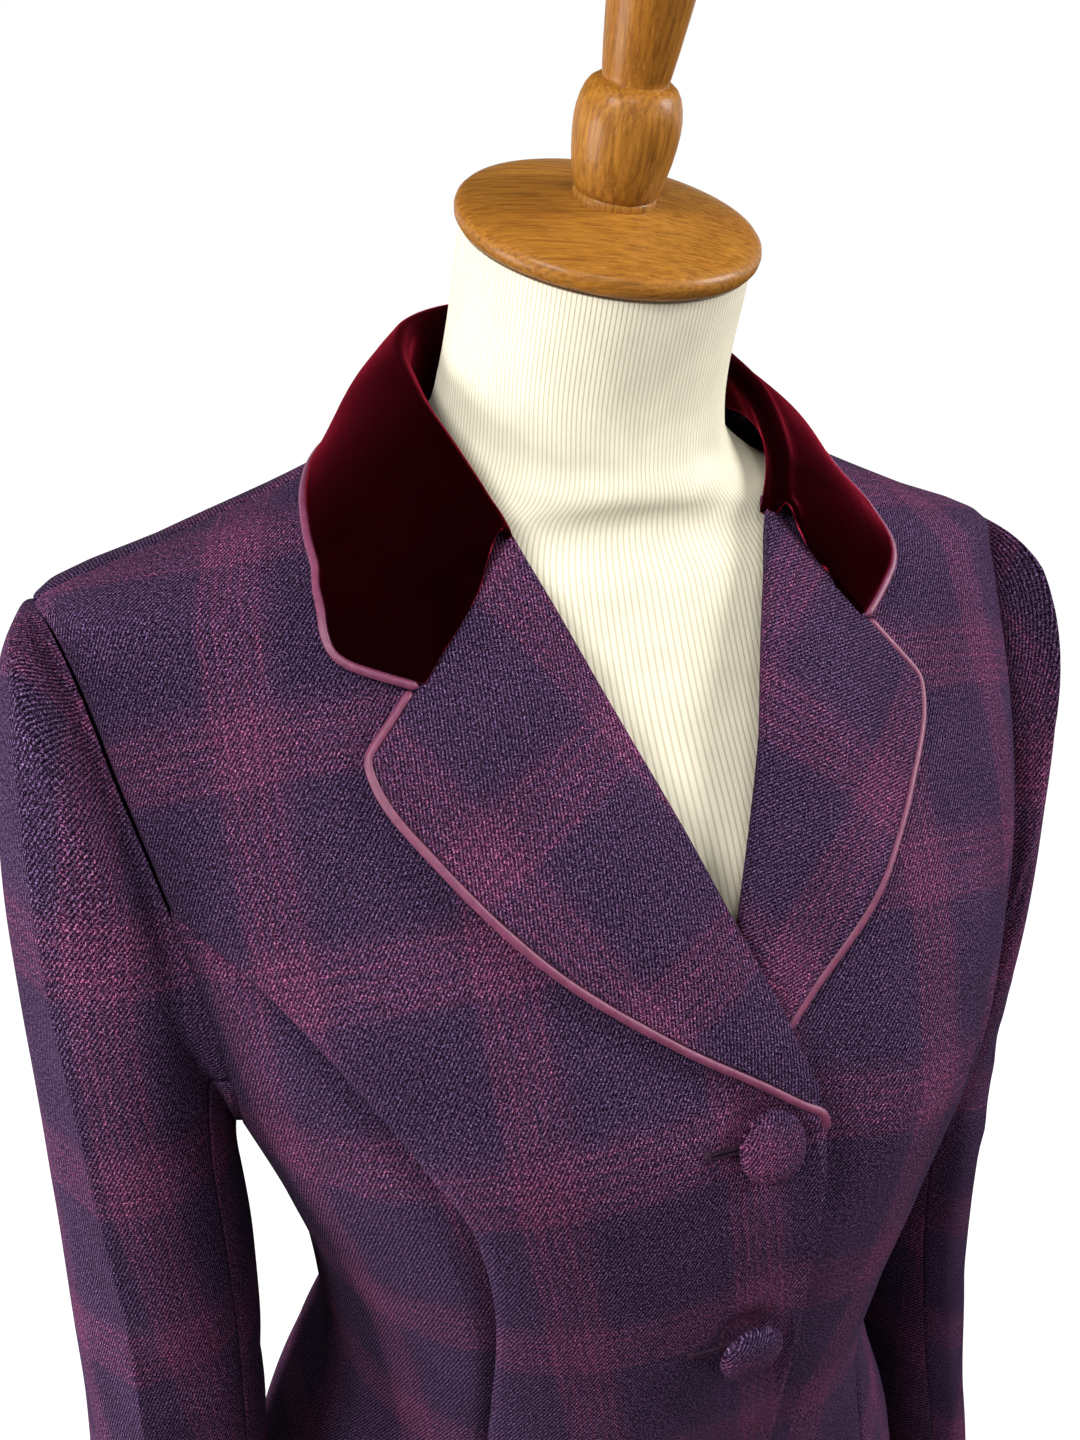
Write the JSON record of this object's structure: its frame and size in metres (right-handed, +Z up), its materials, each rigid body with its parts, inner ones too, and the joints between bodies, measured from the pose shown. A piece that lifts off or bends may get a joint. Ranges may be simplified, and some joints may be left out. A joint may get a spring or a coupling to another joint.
{
  "type": "riding jacket on a dress form",
  "caption": "Fitted riding jacket with princess seams, notched lapels, velvet collar, piped edges and covered buttons, resting on a limbless padded dress form with a turned wooden stand.",
  "frame": {"origin": "on the floor, under the middle of the stand's foot", "axes": "+Z up, the jacket's front towards -Y, the wearer's left towards +X"},
  "size_m": [0.455, 0.3361, 0.9897],
  "materials": {
    "plaid": "matte",
    "velvet": "matte",
    "piping": "satin",
    "jersey": "matte",
    "wood": "satin"
  },
  "bodies": {
    "root": {"front_right": "plaid", "front_left": "plaid", "side_right": "plaid", "side_left": "plaid", "back_right": "plaid", "back_left": "plaid", "lapel_right": "plaid", "lapel_left": "plaid", "sleeve_upper_right": "plaid", "sleeve_upper_left": "plaid", "sleeve_under_right": "plaid", "sleeve_under_left": "plaid", "button_1": "plaid", "button_2": "plaid", "button_3": "plaid", "collar": "velvet", "lapel_piping_right": "piping", "lapel_piping_left": "piping", "collar_piping": "piping", "form_torso": "jersey", "neck_cap": "wood", "finial": "wood", "stand_pole": "wood", "stand_base": "wood"}
  },
  "joints": []
}
